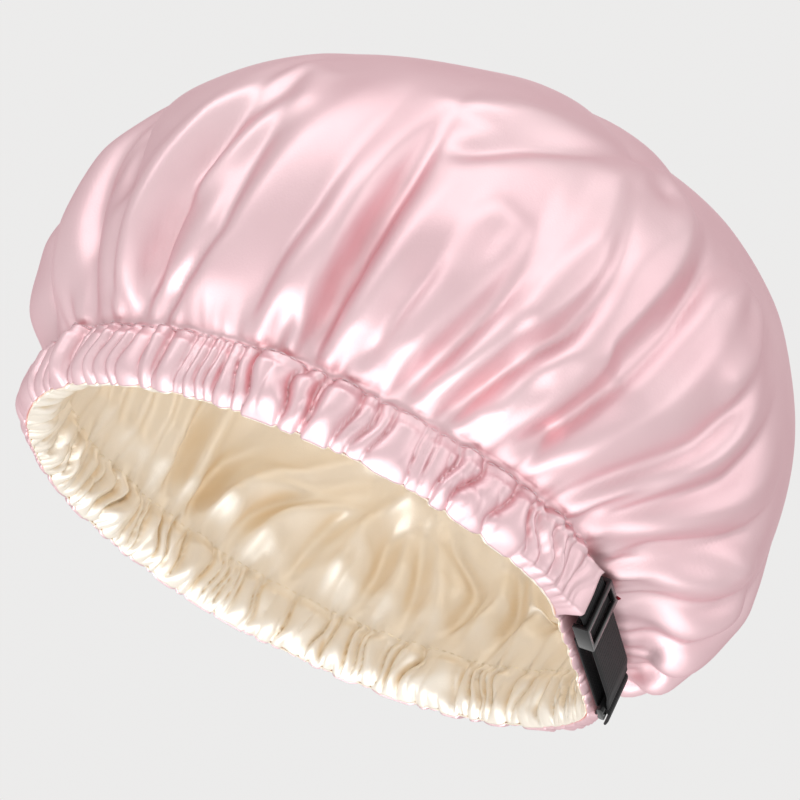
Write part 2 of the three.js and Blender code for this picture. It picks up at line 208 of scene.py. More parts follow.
# Hem: scallops between the pleats, shallower where the casing covers the strap
HEM_LOWEST = 0.3 * MM
SCALLOP_HEIGHT = 1.7 * MM
LEAST_SCALLOP = 0.4 * MM
HOOD_SCALLOP_LOSS = 0.5
SCALLOP_LEVEL = 1.2
HEM_SAG = 0.25 * MM
HEM_CLEARANCE = 0.05 * MM

# Springs that settle the cloth, and the rounds that soften it
SETTLE_ROUNDS = 60
SETTLE_STEP = 0.45
STRETCH = 1.0
SHEAR = 0.25
BEND_ACROSS = 0.12
BEND_ALONG = 0.1
BEND_COLUMNS = 3
HELD_TOP_ROWS = 4
SOFTEN_ROUNDS = 4
SOFTEN_STEP = 0.5

# Lining: how far it hangs inside the smooth cap, more at middle height, and its gap to the cover
LINING_HANG = 9 * MM
LINING_SLACK = 6 * MM
SLACK_MIDDLE = -14 * DEG
SLACK_END = 34 * DEG
LINING_GAP = 1.2 * MM
LINING_GAP_REACH = 5
LINING_HEM_RISE = 0.2 * MM

# Satin: round cut, floats round and down it, reach of the painted shade that deepens its colour in creases,
# spread of sheen
FLOATS_PER_CUT = (2600, 160, 1)
CREASE_SHADE_REACH = 11 * MM
ROUGHNESS_SPREAD = 0.06

# Back of the crown, which hangs lower over the strap, a little lower than in the CAD model
SAG_DROP = 15 * MM
SAG_MIDDLE = 101 * DEG
SAG_SPREAD = 30 * DEG
SAG_START = -26 * DEG
SAG_FULL = -15 * DEG
SAG_END = 24 * DEG

# Slopes between the fold lines: steep beside a crease, averaged over a little width
CREASE_ROUNDING = 0.65 * DEG
CREASE_SAMPLES = 9
RISE_POWER = 0.32
FALL_POWER = 0.36
CRISP_SHARE = 0.8

# Finer folds: where they fade in and out as shares of their length, and how peaked ridges and creases are
FOOT_FADE = (-0.15, 0.1)
TIP_FADE = (0.4, 1.25)
RIDGE_POWER = 2
CREASE_POWER = 1.4

# Fold lines, as in the CAD model: plan angle at the foot, plan angle and latitude at the tip, height in mm
FOLD_START = 14 * DEG
SIDE_FOLDS = [
    (-90, -90, 12, 5), (-80, -83, 6, -5), (-71, -77, 22, 4), (-61, -66, 16, -5), (-52, -44, 46, 5),
    (-47, -42, 24, -8), (-36, -25, 40, 5), (-26, -21.5, 12, -4), (-18.5, -17, 26, 4), (-14.5, -13, 32, -9),
    (-10.5, -7.5, 20, 4), (-6.5, -3.5, 8, -4), (-2.5, 1, 14, 4), (2, 7, 12, -5), (5, 17, 28, 5),
    (9.5, 18, 14, -7), (17.5, 28, 42, 5), (21, 35, 40, -8), (26.5, 42, 38, 6), (33, 48, 20, -5),
    (36.5, 52, 24, 5), (41, 57, 20, -5), (45, 62, 18, 4), (52, 67, 8, -8), (58, 72, 2, 5),
    (67, 77.5, -2, -5), (75, 82, 0, 4), (82, 86, 4, -4), (90, 90, 12, 5),
]

# Finer folds of the cover: height in mm, half-width at foot and tip, plan angle and latitude along the line.
# They are repeated on the far side, a little further round than mirrored
FAR_SIDE_TURN = 176
FINE_FOLDS = [
    (-3, 1.5, 3, [(-54, -20), (-55, 0), (-63, 14), (-72, 24)]),
    (-3, 1, 2, [(-48, -28), (-46.3, -18), (-45.5, -3), (-44.5, 9)]),
    (-4, 1, 2, [(-42.5, -28), (-40, -20), (-37.5, -16)]),
    (-4, 1.2, 3.5, [(-41, -22), (-37.5, -17), (-34.5, -7), (-34.5, 3), (-35, 14), (-35, 30)]),
    (3, 2, 4, [(-23, -27), (-21.5, -8), (-20.5, 10)]),
    (-4, 0.9, 1.6, [(-20, -28), (-19.6, -17)]),
    (-4, 0.8, 1.6, [(-15, -28), (-14.8, -15), (-14, -2), (-13.2, 12), (-13, 31)]),
    (-4, 2.5, 4, [(-8, 21), (-2, 27), (7, 34), (18, 44)]),
    (3, 5, 8, [(-10, 30), (-3, 36), (8, 42)]),
    (-2, 1, 2, [(2, -28), (3.5, -12), (5, 0), (7, 10)]),
    (-3, 1, 2, [(9.5, -28), (10, -18), (12, -6), (15, 3), (17.5, 8)]),
    (3, 4, 7, [(15, 0), (18, 10), (21.5, 23), (28, 40)]),
    (-3, 1, 2.5, [(24.5, -28), (23, -17), (24, 0), (27.5, 12), (33, 23), (38.5, 32)]),
    (-3, 1.2, 2.2, [(39.5, -27), (39.5, -18), (41.5, -7)]),
    (-3, 1, 2.5, [(51, -29), (55.5, -26), (58.5, -18), (63, -12), (77, -3), (86, 2)]),
    (-4.5, 2, 3, [(-81, -20), (-82, -8), (-80, 6), (-79, 18)]),
    (-5, 2, 3.5, [(-64, -12), (-69, 6), (-72, 20), (-74, 36)]),
    (-4.5, 2, 3.5, [(-58, 0), (-65, 15), (-69, 27), (-72, 44)]),
    (-1.6, 4, 6, [(24, 34), (15, 52), (10, 62), (2, 72)]),
    (-1.6, 4, 6, [(30, 36), (34, 50), (36, 56), (41, 70)]),
]

# Arched folds of the cover: height in mm, half-width, plan angle and latitude along the ridge
ARCHED_FOLDS = [
    (2.2, 2.8, [
        (-6, -17), (-4, -10), (-3, 2), (-2, 9), (0.5, 13), (4, 12), (5, 7), (4, 0), (2, -8), (0, -16),
    ]),
    (3, 2.6, [
        (11, 0), (14, 14), (15, 24), (15, 31), (19, 37), (25, 41), (28.5, 36), (27, 24), (21, 7), (15.5, -7),
    ]),
    (3, 1.8, [(14.5, -20), (14, -13), (16.5, -5), (21, 0), (23, 0), (23.5, -5), (22, -15)]),
    (3, 3, [(27, 0), (30, 11), (35, 21), (42, 28), (48, 28), (47, 19), (43.5, 11)]),
    (3, 2.4, [
        (-48, -23), (-49.5, -7), (-49, 4), (-45.5, 14), (-41, 22), (-39, 29), (-35.5, 27), (-34, 20),
        (-42, 2),
    ]),
]

# Broad swells and dips of the cover that its outline shows, in the same columns
BROAD_SWELLS = [
    (-3, 11, [(-64, 34), (-54, 45), (-36, 55)]),
    (1.4, 8, [(-6, 61), (10, 62), (28, 59)]),
    (1.6, 8, [(52, 48), (62, 39)]),
    (2, 6, [(-76, 14), (-71, 24)]),
    (-2, 8, [(-86, -6), (-83, 1)]),
    (-2.4, 7, [(92, -6), (97, -12)]),
]

# Folds of the lining on the far side, repeated on the near side: columns as for the finer folds
LINING_FOLDS = [
    (-5, 2, 4, [(104, -28), (104, -10), (105, 10)]),
    (-5, 2, 4, [(116, -28), (117, -14), (120, 8)]),
    (-5, 2, 4, [(126, -28), (128, -15), (134, 6)]),
    (-6, 1.6, 3.5, [(134, -28), (138, -16), (143.5, -7), (149, 8)]),
    (6, 1, 2, [(139.5, -28), (143, -13), (147, -2), (152, 12)]),
    (-6, 1.6, 4, [(145, -28), (146, -16), (149, -7), (155, 6)]),
    (6, 1, 2, [(151, -26), (153, -12), (156, -7), (160, -3), (167, 8)]),
    (-6, 1.5, 3.5, [(153.5, -29), (158, -20), (161.5, -12), (164, -2), (167, 14)]),
    (5, 1.2, 2.5, [(160, -29), (163, -18), (166, -8), (169, 6)]),
    (-5, 1.5, 3, [(165.5, -29), (166, -22), (168, -13), (171, 2)]),
    (5, 1.2, 2.5, [(170, -29), (171, -18), (172.5, -8), (173, 2)]),
    (-4, 1.4, 2.5, [(172.5, -29), (174, -20), (177, -12), (179, -2)]),
    (-8, 1.6, 5, [(177.5, -29), (178, -20), (178.5, -12), (177.5, -5), (175, 2), (171, 12), (165, 24)]),
    (5, 1.5, 3, [(185, -29), (184.5, -18), (183, -8), (178, 4)]),
    (-7, 1.6, 4, [(194.5, -29), (193, -21), (190, -14), (186, -7), (181, -2), (172, 6)]),
    (5, 1.2, 2.5, [(199, -29), (197.5, -20), (194, -12), (186, 0)]),
    (-7, 1.5, 3.5, [(202.5, -29), (200, -18), (196, -11), (191.5, -6), (187, -2), (178, 6)]),
    (-9, 1.6, 4.5, [(206, -29), (203, -19), (200.5, -12), (197, -5), (192, 1), (186, 8), (176, 18)]),
    (7, 1.4, 3, [(209, -29), (208, -18), (206, -8), (200, 6)]),
    (-6, 1.6, 3.5, [(212.5, -29), (212.3, -14), (211.5, -5), (211, 5), (208, 24)]),
    (5, 1.2, 2.5, [(216, -29), (216, -12), (214, 14)]),
    (-6, 1.5, 3, [(220, -29), (220.5, -20), (219.5, -10), (218.5, 5), (216, 24)]),
    (-5, 1.5, 3, [(225.5, -29), (224.5, -14), (224, 0), (221, 20)]),
    (-5, 1.6, 3, [(232, -29), (231, -12), (229, 12)]),
    (-5, 1.6, 3.5, [(240, -29), (239, -10), (237, 14)]),
    (-5, 2, 4, [(250, -29), (249, -10), (248, 14)]),
]

# Wrinkles across the lining's dome: height in mm, half-width, plan angle and latitude along the line
DOME_WRINKLES = [
    (-5, 4, [(128, 4), (140, 22), (162, 44), (205, 62)]),
    (-5, 3.5, [(150, 2), (163, 18), (186, 36), (225, 50)]),
    (-5, 4, [(172, 6), (190, 24), (218, 38), (258, 44)]),
    (-4, 5, [(200, 14), (226, 36), (270, 55), (330, 62)]),
    (-5, 4, [(236, 8), (252, 28), (282, 42), (322, 44)]),
    (-5, 4, [(282, 6), (300, 28), (332, 46), (384, 56)]),
    (-4, 5, [(326, 8), (344, 30), (376, 46), (420, 48)]),
    (-5, 4, [(10, 8), (26, 30), (56, 50), (110, 66)]),
    (-5, 4, [(58, 6), (72, 28), (96, 46), (140, 56)]),
    (-4, 4, [(94, 8), (106, 32), (128, 54), (180, 72)]),
]

# Spare width of the cover as a share, by latitude in degrees
SPARE_LATITUDES = [-30, -20, 0, 20, 40]
SPARE_WIDTH = [0.01, 0.025, 0.015, 0.005, 0]


def smooth(value, low, high):
    share = np.clip((value - low) / (high - low), 0, 1)
    return share * share * (3 - 2 * share)


def plateau(value, start, full, fade, end):
    return smooth(value, start, full) * (1 - smooth(value, fade, end))


def hump(value, start, middle, end):
    return plateau(value, start, middle, middle, end)


def wrap(angle):
    return np.arctan2(np.sin(angle), np.cos(angle))


def turns(count):
    return np.arange(count) * FULL_TURN / count


def unit(vectors):
    return vectors / np.linalg.norm(vectors, axis=-1, keepdims=True)


# Smooth cap

def rim_line(angle):
    back = RIM_HALF_LENGTH * np.sin(angle) - RIM_FORWARD
    point = np.stack([RIM_HALF_WIDTH * np.cos(angle), back], axis=-1)
    excess = point @ NAPE_OUT - NAPE_DISTANCE
    corner = np.maximum(excess + NAPE_CORNER, 0) ** 2 / (4 * NAPE_CORNER)
    return point - np.where(excess > NAPE_CORNER, excess, corner)[..., None] * NAPE_OUT


def rim_point(angle, offset, height):
    along = unit(rim_line(angle + SLOPE_STEP) - rim_line(angle - SLOPE_STEP))
    outward = np.stack([along[..., 1], -along[..., 0]], axis=-1)
    plan = rim_line(angle) + outward * np.broadcast_to(offset, np.shape(angle))[..., None]
    return np.concatenate([plan, np.broadcast_to(height, np.shape(angle))[..., None]], axis=-1)


def back_sag(angle, latitude):
    across = np.exp(-(wrap(angle - SAG_MIDDLE) / SAG_SPREAD) ** 2)
    return SAG_DROP * across * hump(latitude, SAG_START, SAG_FULL, SAG_END)


def crown_point(angle, latitude):
    below = latitude < 0
    flare = (np.cos(latitude) - math.cos(BAND)) / (1 - math.cos(BAND))
    widest = np.stack([CROWN_HALF_WIDTH * np.cos(angle), CROWN_HALF_LENGTH * np.sin(angle)], axis=-1)
    rim = rim_line(angle)
    low_plan = rim + (widest - rim) * flare[..., None]
    swell = 1 + CROWN_FULLNESS * hump(latitude, FULLNESS_START, FULLNESS_MIDDLE, FULLNESS_END)
    plan = np.where(below[..., None], low_plan, widest * np.cos(latitude)[..., None]) * swell[..., None]
    rise = np.where(below, (CROWN_WIDEST - CASING_HEIGHT) / -math.sin(BAND), CROWN_HEIGHT - CROWN_WIDEST)
    height = CROWN_WIDEST + rise * swell * np.sin(latitude) - back_sag(angle, latitude)
    return np.concatenate([plan, height[..., None]], axis=-1)


def crown_normal(angle, latitude):
    east = crown_point(angle + SLOPE_STEP, latitude) - crown_point(angle - SLOPE_STEP, latitude)
    north = crown_point(angle, latitude + SLOPE_STEP) - crown_point(angle, latitude - SLOPE_STEP)
    return unit(np.cross(east, north))


def crown_grid():
    fine = np.linspace(TOP_LATITUDE, BAND, MERIDIAN_STEPS)
    meridian = crown_point(np.zeros_like(fine), fine)
    length = np.concatenate([[0], np.cumsum(np.linalg.norm(np.diff(meridian, axis=0), axis=1))])
    share = np.linspace(0, 1, CROWN_ROWS)
    crowded = (1 + ROW_CROWDING) * share - ROW_CROWDING * share ** 2
    latitude = np.interp(length[-1] * crowded, length, fine)
    return np.meshgrid(turns(COLUMNS), latitude)


# Folds

def line_lift(angle, latitude):
    far_folds = [(180 - foot, 180 - tip, reach, height) for foot, tip, reach, height in SIDE_FOLDS[-2:0:-1]]
    foot, tip, reach, height = np.array(SIDE_FOLDS + far_folds, dtype=float).T
    start = BAND + FOLD_START
    end = np.maximum(reach * DEG, start + FOLD_START)
    shifts = np.linspace(-CREASE_ROUNDING, CREASE_ROUNDING, CREASE_SAMPLES)
    lift = np.zeros_like(angle)
    for row, level in enumerate(latitude[:, 0]):
        line = (foot + (tip - foot) * smooth(level, BAND, reach * DEG)) * DEG
        tall = height * plateau(level, BAND, start, (start + end) / 2, end)
        lift[row] = np.mean([between_lines(angle[row] + shift, line, tall) for shift in shifts], axis=0) * MM
    return lift


def between_lines(angle, line, tall):
    turn = line[0] + np.mod(angle - line[0], FULL_TURN)
    after = np.searchsorted(line, turn, side="right")
    line = np.append(line, line[0] + FULL_TURN)
    tall = np.append(tall, tall[0])
    share = (turn - line[after - 1]) / (line[after] - line[after - 1])
    uphill = tall[after] > tall[after - 1]
    crisp = np.where(uphill, share ** RISE_POWER, 1 - (1 - share) ** FALL_POWER)
    slope = CRISP_SHARE * crisp + (1 - CRISP_SHARE) * smooth(share, 0, 1)
    return tall[after - 1] + (tall[after] - tall[after - 1]) * slope


def fold_lift(angle, latitude, folds):
    lift = np.zeros_like(angle)
    for height, foot_width, tip_width, path in folds:
        plan, level = np.array(path, dtype=float).T * DEG
        share = (latitude - level[0]) / (level[-1] - level[0])
        width = (foot_width + (tip_width - foot_width) * np.clip(share, 0, 1)) * DEG
        across = wrap(angle - np.interp(latitude, level, plan)) / width
        power = RIDGE_POWER if height > 0 else CREASE_POWER
        lift += height * MM * np.exp(-np.abs(across) ** power) * plateau(share, *FOOT_FADE, *TIP_FADE)
    return lift


def segment_gap(angle, latitude, start, end):
    narrowing = np.cos(latitude)
    east = wrap(angle - start[0] * DEG) * narrowing
    north = latitude - start[1] * DEG
    run_east = (end[0] - start[0]) * DEG * narrowing
    run_north = (end[1] - start[1]) * DEG
    share = np.clip((east * run_east + north * run_north) / (run_east ** 2 + run_north ** 2), 0, 1)
    return np.hypot(east - share * run_east, north - share * run_north)


def arch_lift(angle, latitude, arches):
    lift = np.zeros_like(angle)
    for height, width, path in arches:
        gaps = [segment_gap(angle, latitude, start, end) for start, end in zip(path, path[1:])]
        lift += height * MM * np.exp(-(np.min(gaps, axis=0) / (width * DEG)) ** 2)
    return lift


def mirrored(folds):
    return [(*sizes, [(FAR_SIDE_TURN - plan, level) for plan, level in path]) for *sizes, path in folds]


# Pleats

def sway(amount, generator):
    angle = turns(CASING_COLUMNS)
    field = np.zeros_like(angle)
    for waves in SWAY_WAVES:
        field += generator.uniform(-1, 1) * np.sin(waves * angle + generator.uniform(0, FULL_TURN))
    return amount * field


def pleat_set(count, generator):
    widths = generator.gamma(WIDTH_SHAPE, size=count) + LEAST_WIDTH
    widths *= FULL_TURN / widths.sum()
    room = np.minimum(widths, np.roll(widths, -1))
    return {
        "edges": np.cumsum(widths),
        "shift": generator.uniform(-EDGE_SHIFT, EDGE_SHIFT, count) * room,
        "bend": generator.uniform(-EDGE_BEND, EDGE_BEND, count) * room,
        "lean": sway(PLEAT_LEAN, generator),
        "curl": sway(PLEAT_CURL, generator),
        "height": generator.uniform(*PLEAT_HEIGHTS, count),
        "skew": generator.uniform(-PLEAT_SKEW, PLEAT_SKEW, count),
        "reach": generator.uniform(*PLEAT_REACH, count) * DEG,
    }


def crossed_pleats(generator):
    return {**pleat_set(PLEATS, generator), "cross": pleat_set(CROSS_PLEATS, generator)}


def pleat_wave(angle, drop, pleats):
    edges = pleats["edges"] + pleats["shift"] * drop + pleats["bend"] * math.sin(math.pi * drop)
    turn = edges[0] + np.mod(angle - edges[0], FULL_TURN)
    after = np.searchsorted(edges, turn, side="right")
    index = after - 1
    mean_width = FULL_TURN / len(edges)
    edges = np.append(edges, edges[0] + FULL_TURN)
    width = edges[after] - edges[index]
    share = np.clip((turn - edges[index]) / width, 0, 1) ** np.exp(pleats["skew"][index])
    tall = np.clip(width / mean_width, 0, WIDEST_PLEAT) ** WIDTH_POWER * pleats["height"][index]
    return tall * (4 * share * (1 - share)) ** PLEAT_ROUNDNESS, index


def casing_wave(angle, drop, pleats):
    wave = np.zeros_like(angle)
    for share, layer in ((PLEAT_SHARE, pleats), (CROSS_PLEAT_SHARE, pleats["cross"])):
        warped = angle + layer["lean"] * drop + layer["curl"] * math.sin(FULL_TURN * drop)
        wave += share * pleat_wave(warped, drop, layer)[0]
    return wave


def band_pleats(angle, latitude, pleats):
    gathers = np.zeros_like(angle)
    for row, level in enumerate(latitude[:, 0]):
        wave, index = pleat_wave(angle[row], 0.0, pleats)
        gathers[row] = wave * (1 - smooth((level - BAND) / pleats["reach"][index], REACH_FADE_START, 1))
    return gathers


# Cloth

def pull(cloth, move, rows, columns, rest, stiffness):
    count = len(cloth) - rows
    gap = np.roll(cloth, -columns, axis=1)[rows:] - cloth[:count]
    length = np.linalg.norm(gap, axis=2)
    shift = gap * (0.5 * stiffness * (1 - rest / length))[..., None]
    move[:count] += shift
    move[rows:] -= np.roll(shift, columns, axis=1)


def row_gaps(cloth, columns):
    return np.linalg.norm(np.roll(cloth, -columns, axis=1)[1:] - cloth[:-1], axis=2)


def cloth_springs(cloth, spare):
    across = np.linalg.norm(np.roll(cloth, -1, axis=1) - cloth, axis=2) * spare
    along = row_gaps(cloth, 0)
    return [
        (0, 1, across, STRETCH),
        (1, 0, along, STRETCH),
        (1, 1, row_gaps(cloth, 1), SHEAR),
        (1, -1, row_gaps(cloth, -1), SHEAR),
        (0, BEND_COLUMNS, BEND_COLUMNS * across, BEND_ACROSS),
        (2, 0, along[1:] + along[:-1], BEND_ALONG),
    ]


def settle(cloth, base, normal, spare, low, high):
    springs = cloth_springs(cloth, spare)
    free = np.ones((len(base), 1, 1))
    free[:HELD_TOP_ROWS] = 0
    free[-1] = 0
    for _ in range(SETTLE_ROUNDS):
        move = np.zeros_like(cloth)
        for spring in springs:
            pull(cloth, move, *spring)
        cloth += SETTLE_STEP * move * free
        lift = np.sum((cloth - base) * normal, axis=2)
        cloth += normal * (np.clip(lift, low, high) - lift)[..., None] * free
    return cloth


def soften(cloth):
    for _ in range(SOFTEN_ROUNDS):
        mean = (np.roll(cloth, 1, axis=1) + np.roll(cloth, -1, axis=1)) / 4
        mean[1:-1] += (cloth[2:] + cloth[:-2]) / 4
        cloth[1:-1] += SOFTEN_STEP * (mean[1:-1] - cloth[1:-1])
    return cloth


def local_least(field, reach):
    least = field.copy()
    for step in range(1, reach + 1):
        least = np.minimum(least, np.minimum(np.roll(field, step, axis=1), np.roll(field, -step, axis=1)))
    field = least.copy()
    for step in range(1, reach + 1):
        least[step:] = np.minimum(least[step:], field[:-step])
        least[:-step] = np.minimum(least[:-step], field[step:])
    return least


# Casing round the rim

def nape_place(angle):
    point = rim_line(angle)
    return np.where(point @ NAPE_OUT > 0, point @ NAPE_ALONG, np.nan)


def back_share(angle):
    full = FAR_EXIT + CASING_RAMP_LENGTH
    fade = NEAR_EXIT - CASING_RAMP_LENGTH
    return np.nan_to_num(plateau(nape_place(angle), FAR_EXIT, full, fade, NEAR_EXIT))


def near_seat(place):
    rise = smooth(NEAR_EXIT - place, 0, STRAP_RAMP_LENGTH)
    return STRAP_SEAT + (RUN_SEAT - STRAP_SEAT) * rise


def hood(angle):
    place = nape_place(angle)
    near = plateau(place, *NEAR_HOOD) * (near_seat(place) + HOOD_ROOM)
    far = plateau(place, *FAR_HOOD) * (STRAP_SEAT + HOOD_ROOM)
    return np.nan_to_num(near + far)


def hem_height(pleats):
    angle = turns(CASING_COLUMNS)
    wave = casing_wave(angle, 1.0, pleats)
    scallop = (SCALLOP_HEIGHT - HOOD_SCALLOP_LOSS * hood(angle)).clip(LEAST_SCALLOP)
    return HEM_LOWEST + scallop * np.clip(SCALLOP_LEVEL - wave, 0, 1)


def casing_rows(band_offset, side, room, depth, pleats, hem):
    angle = turns(CASING_COLUMNS)
    slim = back_share(angle)
    top = np.interp(angle, turns(COLUMNS), band_offset, period=FULL_TURN)
    deep = depth * (1 - slim) + SLIM_DEPTH * slim
    strap_room = hood(angle) if side == OUTSIDE else np.zeros_like(angle)
    rows = []
    for drop in np.linspace(0, 1, CASING_ROWS + 1)[1:]:
        wave = casing_wave(angle, drop, pleats)
        swell = smooth(drop, 0, SWELL_END) * (1 - TURN_IN * drop ** TURN_IN_POWER)
        over_strap = smooth(drop, 0, HOOD_RISE_END) * (1 - HOOD_TURN_IN * smooth(drop, HOOD_TURN_START, 1))
        hooded = (strap_room + HOOD_PLEAT_SHARE * deep * wave) * over_strap
        body = np.maximum((room + deep * wave) * swell, hooded)
        below_band = smooth(drop, 0, BAND_FADE_END)
        offset = top * (1 - below_band) + CASING_CORE * below_band + body
        height = CASING_HEIGHT * (1 - drop) + hem * drop ** HEM_POWER
        rows.append(rim_point(angle, side * offset, height))
    return rows


def hem_rows(last, height):
    edge = rim_point(turns(CASING_COLUMNS), 0.0, height)
    middle = (last + edge) / 2
    middle[:, 2] = np.maximum(last[:, 2] - HEM_SAG, HEM_CLEARANCE)
    edge[:, 2] = last[:, 2] + height
    return [middle, edge]


# Meshes

def new_object(name, mesh):
    piece = bpy.data.objects.new(name, mesh)
    bpy.context.scene.collection.objects.link(piece)
    return piece


def shade_smooth(mesh):
    mesh.polygons.foreach_set("use_smooth", np.ones(len(mesh.polygons), dtype=bool))
    mesh.update()


def ring_faces(upper, lower):
    column = np.arange(upper)
    if upper == lower:
        return [[(0, column), (1, column), (1, column + 1), (0, column + 1)]]
    return [
        [(0, column), (1, 2 * column), (1, 2 * column + 1)],
        [(0, column), (1, 2 * column + 1), (0, column + 1)],
        [(0, column + 1), (1, 2 * column + 1), (1, 2 * column + 2)],
    ]


def strip_faces(rows, starts):
    faces = []
    places = []
    for k in range(len(rows) - 1):
        counts = (len(rows[k]), len(rows[k + 1]))
        for shape in ring_faces(*counts):
            index = [starts[k + side] + column % counts[side] for side, column in shape]
            around = [column / counts[side] for side, column in shape]
            down = [np.full(counts[0], (k + side) / len(rows)) for side, _ in shape]
            faces += np.stack(index, axis=-1).tolist()
            place = np.stack([np.stack(around, axis=1), np.stack(down, axis=1)], axis=-1)
            places.append(place.reshape(-1, 2))
    return faces, places


def fan_faces(count, pole):
    column = np.arange(count)
    faces = np.stack([np.full(count, pole), column, (column + 1) % count], axis=-1).tolist()
    around = np.stack([column, column, column + 1], axis=-1) / count
    return faces, np.stack([around, np.zeros_like(around)], axis=-1).reshape(-1, 2)


def cloth_mesh(name, rows):
    starts = np.cumsum([0] + [len(row) for row in rows])
    faces, places = strip_faces(rows, starts)
    fan, fan_places = fan_faces(len(rows[0]), starts[-1])
    pole = np.array([[0, 0, rows[0][:, 2].max() + POLE_RISE]])
    mesh = bpy.data.meshes.new(name)
    mesh.from_pydata(np.concatenate([*rows, pole]).tolist(), [], faces + fan)
    shade_smooth(mesh)
    layer = mesh.uv_layers.new(name="cut")
    layer.data.foreach_set("uv", np.concatenate([*places, fan_places]).astype(np.float32).ravel())
    return new_object(name, mesh)


def tube_faces(count, sides, start):
    faces = []
    for k in range(count - 1):
        for j in range(sides):
            after = (j + 1) % sides
            first = start + k * sides
            faces.append((first + j, first + after, first + sides + after, first + sides + j))
    faces.append(tuple(start + j for j in range(sides - 1, -1, -1)))
    faces.append(tuple(start + (count - 1) * sides + j for j in range(sides)))
    return faces


def tube_mesh(name, tubes):
    points = []
    faces = []
    for rings in tubes:
        count, sides = rings.shape[:2]
        faces += tube_faces(count, sides, len(points))
        points += rings.reshape(-1, 3).tolist()
    mesh = bpy.data.meshes.new(name)
    mesh.from_pydata(points, [], faces)
    shade_smooth(mesh)
    return new_object(name, mesh)


# Thread

def thread_rings(path, radius):
    along = unit(np.gradient(path, axis=0))
    steep = np.abs(along[:, 2:]) > STEEP_THREAD
    spare = np.where(steep, np.array([[1.0, 0, 0]]), np.array([[0, 0, 1.0]]))
    first = unit(np.cross(along, spare))
    second = np.cross(along, first)
    turn = turns(THREAD_SIDES)[:, None]
    circle = first[:, None] * np.cos(turn) + second[:, None] * np.sin(turn)
    return path[:, None] + np.broadcast_to(radius, len(path))[:, None, None] * circle


def stitch_tubes(row, outward):
    tubes = []
    share = np.linspace(0, 1, len(STITCH_TAPER))
    rise = STITCH_LIFT * np.sin(math.pi * share) ** STITCH_ROUNDNESS - STITCH_SINK
    radius = STITCH_RADIUS * np.array(STITCH_TAPER)
    for k in range(0, len(row) - STITCH_STRIDE + 1, STITCH_STRIDE):
        points = row[k:k + STITCH_SPAN + 1]
        spans = [np.interp(share * STITCH_SPAN, np.arange(STITCH_SPAN + 1), axis) for axis in points.T]
        tubes.append(thread_rings(np.stack(spans, axis=-1) + outward[k] * rise[:, None], radius))
    return tubes


def zigzag(name, place, seat):
    step = np.arange(2 * BARTACK_PASSES + 1)
    rise = np.where(step % 2 == 0, -0.5, 0.5) * BARTACK_HEIGHT
    along = (step / (2 * BARTACK_PASSES) - 0.5) * BARTACK_LENGTH
    fine = np.linspace(0, len(step) - 1, BARTACK_STEPS * len(step))
    plan = strap_point(place + np.interp(fine, step, along), seat)
    path = np.concatenate([plan, (STRAP_MIDDLE + np.interp(fine, step, rise))[:, None]], axis=-1)
    return tube_mesh(name, [thread_rings(path, BARTACK_THREAD_RADIUS)])


# Webbing and moulded fittings

def nape_angle(place):
    across = RIM_HALF_WIDTH * NAPE_ALONG[0]
    back = RIM_HALF_LENGTH * NAPE_ALONG[1]
    share = (place + RIM_FORWARD * NAPE_ALONG[1]) / math.hypot(across, back)
    return math.atan2(back, across) + np.arccos(share)


def strap_point(place, offset):
    return rim_point(nape_angle(place), offset, 0.0)[..., :2]


def strap_run(start, end, start_seat, end_seat):
    count = max(LEAST_STEPS, int(abs(end - start) / WEBBING_STEP))
    share = np.linspace(0, 1, count + 1)
    seat = start_seat + (end_seat - start_seat) * smooth(share, 0, 1)
    return strap_point(start + (end - start) * share, seat)


def strap_turn(place, seat, radius, from_side):
    turn = np.linspace(0, math.pi, TURN_STEPS)[1:-1]
    return strap_point(place - from_side * radius * np.sin(turn), seat + from_side * radius * np.cos(turn))


def webbing_section():
    bow = STRAP_THICKNESS / 2
    flat = STRAP_WIDTH / 2 - bow
    turn = np.linspace(-math.pi / 2, math.pi / 2, EDGE_STEPS)
    edge = np.stack([bow * np.sin(turn), flat + bow * np.cos(turn)], axis=-1)
    face = np.stack([np.full(FACE_STEPS, bow), np.linspace(flat, -flat, FACE_STEPS + 2)[1:-1]], axis=-1)
    return np.concatenate([edge, face, -edge, -face])


def webbing(name, *stretches):
    path = np.concatenate(stretches)
    along = unit(np.gradient(path, axis=0))
    across = np.stack([-along[:, 1], along[:, 0]], axis=-1)
    section = webbing_section()
    plan = path[:, None, :] + across[:, None, :] * section[None, :, 0, None]
    height = np.broadcast_to(STRAP_MIDDLE + section[:, 1], plan.shape[:2])
    return tube_mesh(name, [np.concatenate([plan, height[..., None]], axis=-1)])


def rounded_copy(name, node, radius):
    form = bmesh.new()
    form.from_mesh(frame["nodes"][node].data)
    bmesh.ops.remove_doubles(form, verts=form.verts, dist=WELD_GAP)
    bmesh.ops.dissolve_limit(form, angle_limit=FLAT_ANGLE, verts=form.verts, edges=form.edges)
    sharp = [edge for edge in form.edges if edge.is_manifold and edge.calc_face_angle() > EDGE_ANGLE]
    bevel = {"segments": ROUNDING_STEPS, "profile": 0.5, "affect": "EDGES", "clamp_overlap": True}
    bmesh.ops.bevel(form, geom=sharp, offset=radius, **bevel)
    mesh = bpy.data.meshes.new(name)
    form.to_mesh(mesh)
    form.free()
    shade_smooth(mesh)
    mesh.set_sharp_from_angle(angle=SHADING_ANGLE)
    return new_object(name, mesh)


# Materials

def node_material(name):
    material = bpy.data.materials.new(name)
    material.use_nodes = True
    tree = material.node_tree
    return material, tree, tree.nodes["Principled BSDF"]


def set_inputs(node, values):
    for name, value in values.items():
        node.inputs[name].default_value = value


